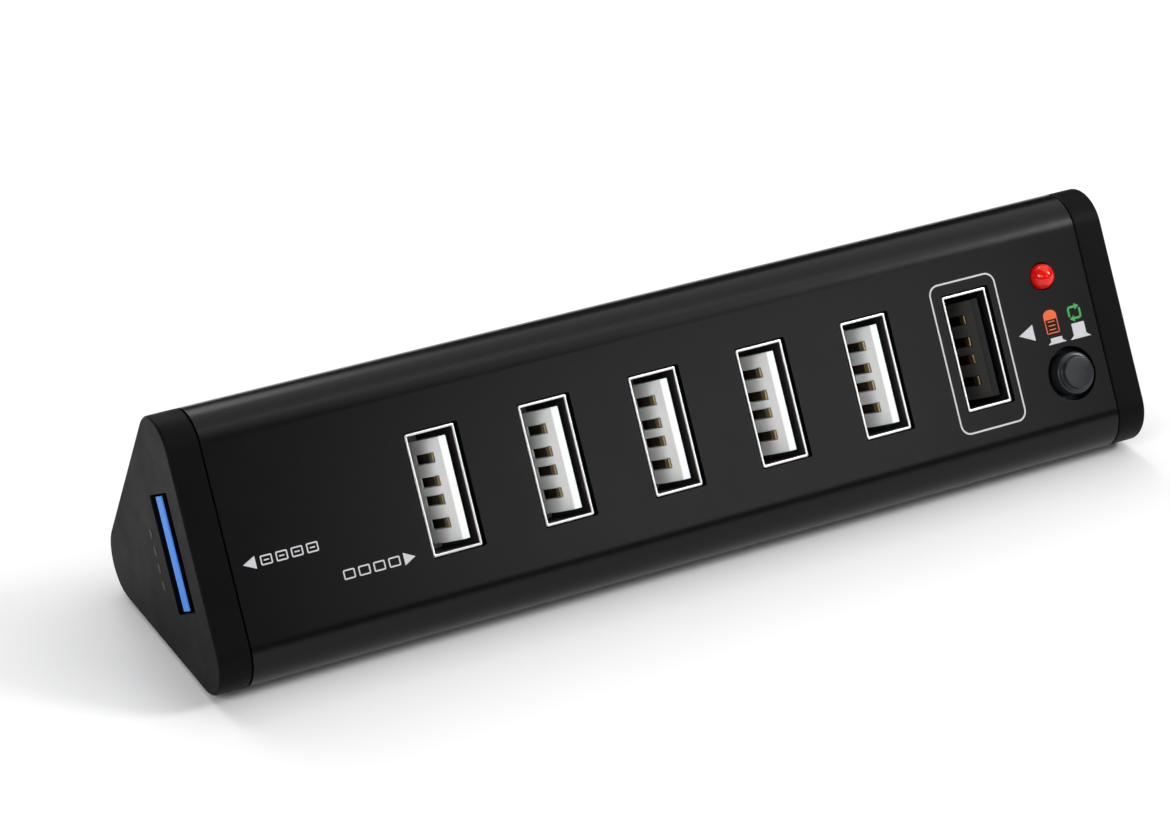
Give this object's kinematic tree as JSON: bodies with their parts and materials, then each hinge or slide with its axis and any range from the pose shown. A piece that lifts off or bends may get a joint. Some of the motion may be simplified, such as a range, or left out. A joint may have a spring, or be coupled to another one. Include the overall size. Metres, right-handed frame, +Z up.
{
  "type": "usb hub",
  "caption": "Desktop hub in a three-sided tube with upright ports on its sloping front, an end port, an indicator and a latching button.",
  "frame": {"origin": "centre of the bounding box in plan, on the surface that the feet stand on", "axes": "+X along the housing towards the button end, -Y towards the sloping front face with the ports, +Z up"},
  "size_m": [0.1148, 0.0296, 0.0273],
  "materials": {
    "housing": "fine matte texture, near black",
    "end_cap": "fine matte texture, near black",
    "board": "satin solder mask",
    "wedge": "matte moulding",
    "steel_shell": "bright nickel plating",
    "black_shell": "black plating, satin",
    "white_insulator": "satin moulding",
    "black_insulator": "satin moulding",
    "blue_insulator": "satin moulding",
    "contact_gold": "gold flash",
    "tinned_metal": "tinned, satin",
    "spring_steel": "bright wire",
    "lead_wire": "glossy insulation",
    "red_lens": "tinted clear moulding",
    "button": "satin moulding",
    "chip": "matte moulding compound",
    "ferrite": "matte ferrite",
    "capacitor_can": "satin can",
    "fuse": "matte",
    "ceramic_chip": "matte ceramic",
    "foot_rubber": "matte"
  },
  "bodies": {
    "hub": {"housing_tube": "housing", "left_end_cap": "end_cap", "right_end_cap": "end_cap", "main_board": "board", "board_wedges": "wedge", "port_1_shell": "steel_shell", "port_1_insulator": "white_insulator", "port_1_contacts": "contact_gold", "port_2_shell": "steel_shell", "port_2_insulator": "white_insulator", "port_2_contacts": "contact_gold", "port_3_shell": "steel_shell", "port_3_insulator": "white_insulator", "port_3_contacts": "contact_gold", "port_4_shell": "steel_shell", "port_4_insulator": "white_insulator", "port_4_contacts": "contact_gold", "port_5_shell": "steel_shell", "port_5_insulator": "white_insulator", "port_5_contacts": "contact_gold", "charge_port_shell": "steel_shell", "charge_port_insulator": "black_insulator", "charge_port_contacts": "contact_gold", "fast_port_shell": "black_shell", "fast_port_insulator": "blue_insulator", "fast_port_contacts": "contact_gold", "fast_port_riser": "black_insulator", "upstream_shell": "steel_shell", "upstream_insulator": "black_insulator", "upstream_contacts": "contact_gold", "dc_jack_body": "black_insulator", "dc_jack_pin": "tinned_metal", "dc_jack_spring": "tinned_metal", "dc_jack_nut": "tinned_metal", "power_leads": "lead_wire", "led_lens": "red_lens", "led_leads": "tinned_metal", "led_spacer": "black_insulator", "switch_spring": "spring_steel", "switch_case": "black_insulator", "switch_cover": "tinned_metal", "switch_terminals": "contact_gold", "fast_controller": "chip", "hub_controller": "chip", "charge_controller": "chip", "crystals": "tinned_metal", "regulator": "chip", "power_inductor": "ferrite", "bulk_capacitors": "capacitor_can", "port_fuses": "fuse", "ceramic_capacitors": "ceramic_chip", "resistors": "chip", "rubber_feet": "foot_rubber"},
    "button": {"button_cap": "button", "switch_plunger": "white_insulator"}
  },
  "joints": [
    {"name": "button_press", "type": "slide", "parent": "hub", "child": "button", "axis": [0, 0.866, -0.5], "range_m": [0, 0.0013], "stiffness_N_per_m": 1000, "deforming": ["switch_spring"]}
  ]
}
